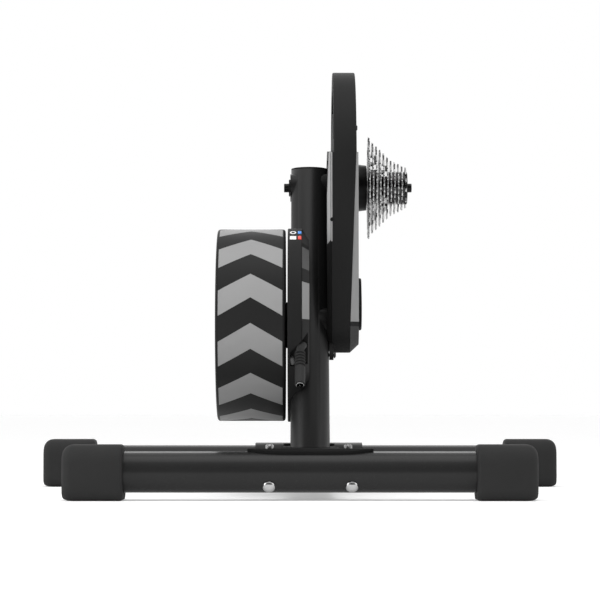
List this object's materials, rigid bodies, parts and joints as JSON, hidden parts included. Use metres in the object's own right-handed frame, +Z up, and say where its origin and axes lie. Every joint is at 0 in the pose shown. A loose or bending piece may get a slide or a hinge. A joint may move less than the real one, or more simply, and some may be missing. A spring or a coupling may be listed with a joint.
{
  "type": "direct drive bike trainer",
  "caption": "Free-standing bike trainer: two round cross legs, a leaning post, a belt-driven flywheel with brake, a carrying ring and a sprocket cassette on a fixed axle.",
  "frame": {"origin": "on the floor, midway between the two legs and midway along them", "axes": "+X to the bike's drive side, +Y forward, +Z up"},
  "size_m": [0.6152, 0.5032, 0.4758],
  "materials": {
    "black_frame_paint": "satin powder coat",
    "foot_rubber": "matte moulded",
    "bright_fastener": "polished",
    "black_moulding": "fine moulded texture, with grey bevels on the belt covers",
    "flywheel_paint": "satin paint in two greys, in chevrons",
    "copper": "bare",
    "machined_steel": "ground",
    "aluminium": "machined",
    "black_anodised": "black anodised",
    "cog_steel": "nickel plated",
    "black_rubber": "smooth",
    "nickel": "plated",
    "blue_lens": "translucent",
    "red_lens": "translucent",
    "circuit_board": "solder mask"
  },
  "bodies": {
    "root": {"base_spine": "black_frame_paint", "rear_saddle": "black_frame_paint", "front_saddle": "black_frame_paint", "rear_leg_tube": "black_frame_paint", "front_leg_tube": "black_frame_paint", "main_post": "black_frame_paint", "rear_foot_left": "foot_rubber", "rear_foot_right": "foot_rubber", "front_foot_left": "foot_rubber", "front_foot_right": "foot_rubber", "rear_leg_bolt_left": "bright_fastener", "rear_leg_bolt_right": "bright_fastener", "rear_leg_nut_left": "bright_fastener", "rear_leg_nut_right": "bright_fastener", "front_leg_bolt_left": "bright_fastener", "front_leg_bolt_right": "bright_fastener", "front_leg_nut_left": "bright_fastener", "front_leg_nut_right": "bright_fastener", "housing_screw": "bright_fastener", "post_cap": "black_moulding", "belt_housing": "black_moulding", "access_panel": "black_moulding", "brake_housing": "black_moulding", "brake_cover_rear": "black_moulding", "brake_cover_front": "black_moulding", "left_belt_cover": "black_moulding", "right_belt_cover": "black_moulding", "brake_coil": "copper", "brake_core": "machined_steel", "idler_bracket": "machined_steel", "axle": "machined_steel", "flywheel_bearing_left": "machined_steel", "flywheel_bearing_right": "machined_steel", "hub_bearing_left": "machined_steel", "hub_bearing_right": "machined_steel", "left_end_cap": "black_anodised", "right_end_cap": "black_anodised", "drive_belt": "black_rubber", "power_lead": "black_rubber", "power_socket": "nickel", "blue_light": "blue_lens", "red_light": "red_lens", "control_board": "circuit_board"},
    "flywheel": {"flywheel": "flywheel_paint", "eddy_ring": "copper", "flywheel_shaft": "machined_steel", "flywheel_nut": "machined_steel", "small_pulley": "machined_steel"},
    "pulley": {"large_pulley": "aluminium", "hub_shell": "black_anodised"},
    "idler": {"idler_pulley": "aluminium"},
    "cassette": {"freehub_body": "aluminium", "cogs_28_25_23": "cog_steel", "cogs_21_19_17": "cog_steel", "cog_15": "cog_steel", "cog_14": "cog_steel", "cog_13": "cog_steel", "cog_12": "cog_steel", "cog_11": "cog_steel", "lockring": "cog_steel"}
  },
  "joints": [
    {"name": "flywheel_spin", "type": "hinge", "parent": "root", "child": "flywheel", "pos_m": [-0.05, -0.0652, 0.184], "axis": [1, 0, 0], "continuous": true},
    {"name": "pulley_spin", "type": "hinge", "parent": "root", "child": "pulley", "pos_m": [0.05, 0.05374, 0.34479], "axis": [1, 0, 0], "continuous": true},
    {"name": "idler_spin", "type": "hinge", "parent": "root", "child": "idler", "pos_m": [0.047, 0.00068, 0.19739], "axis": [1, 0, 0], "continuous": true},
    {"name": "freehub_spin", "type": "hinge", "parent": "pulley", "child": "cassette", "pos_m": [0.1, 0.05374, 0.34479], "axis": [1, 0, 0], "continuous": true}
  ],
  "couplings": [
    {"joint": "pulley_spin", "follows": "flywheel_spin", "ratio": 0.14286},
    {"joint": "idler_spin", "follows": "flywheel_spin", "ratio": -0.91667}
  ]
}
